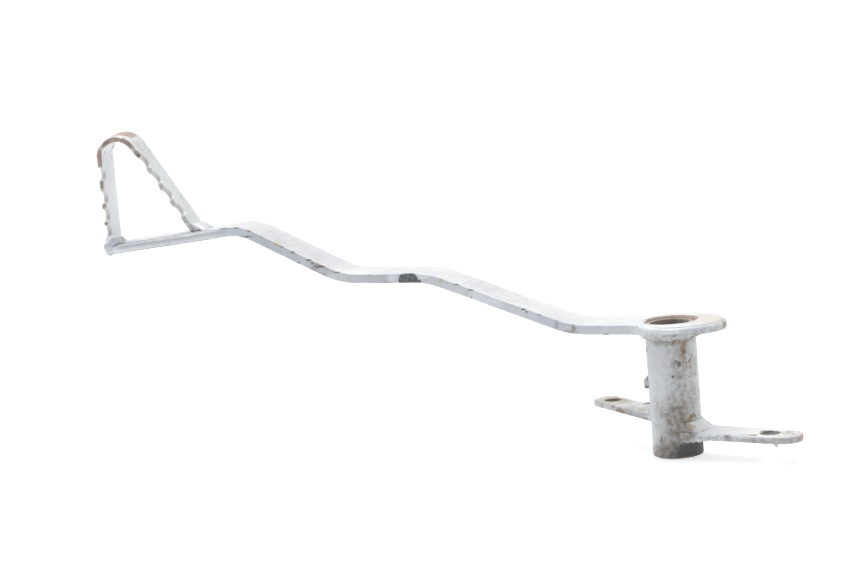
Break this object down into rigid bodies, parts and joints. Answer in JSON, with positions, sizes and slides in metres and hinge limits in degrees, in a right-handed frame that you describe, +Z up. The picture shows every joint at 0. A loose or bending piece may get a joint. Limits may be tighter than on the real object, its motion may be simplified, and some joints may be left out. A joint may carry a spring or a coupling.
{
  "type": "motorcycle foot lever",
  "caption": "Cranked flat steel foot lever: round eye on a pivot tube with drilled rod and spring arms, serrated strip loop as the toe tread at the far end.",
  "frame": {"origin": "on the axis of the pivot tube, at its lower end", "axes": "+Z up the pivot tube from its lower end to the eye, -X along the bar to the tread, -Y the side the tread is pressed from"},
  "size_m": [0.3733, 0.0898, 0.1853],
  "materials": {
    "bar_paint": "worn silver paint, satin",
    "tube_paint": "worn silver paint, soiled, satin",
    "tread_paint": "worn silver paint, satin",
    "arm_paint": "worn silver paint, satin",
    "weld_paint": "painted weld bead, rough"
  },
  "bodies": {
    "root": {"lever_bar": "bar_paint", "pivot_tube": "tube_paint", "tread_loop": "tread_paint", "rod_arm": "arm_paint", "spring_arm": "arm_paint", "stop_nub": "tube_paint", "eye_weld": "weld_paint", "rod_arm_upper_weld": "weld_paint", "rod_arm_lower_weld": "weld_paint", "spring_arm_upper_weld": "weld_paint", "spring_arm_lower_weld": "weld_paint", "tread_back_weld": "weld_paint", "tread_end_weld": "weld_paint", "tread_corner_weld": "weld_paint"}
  },
  "joints": []
}
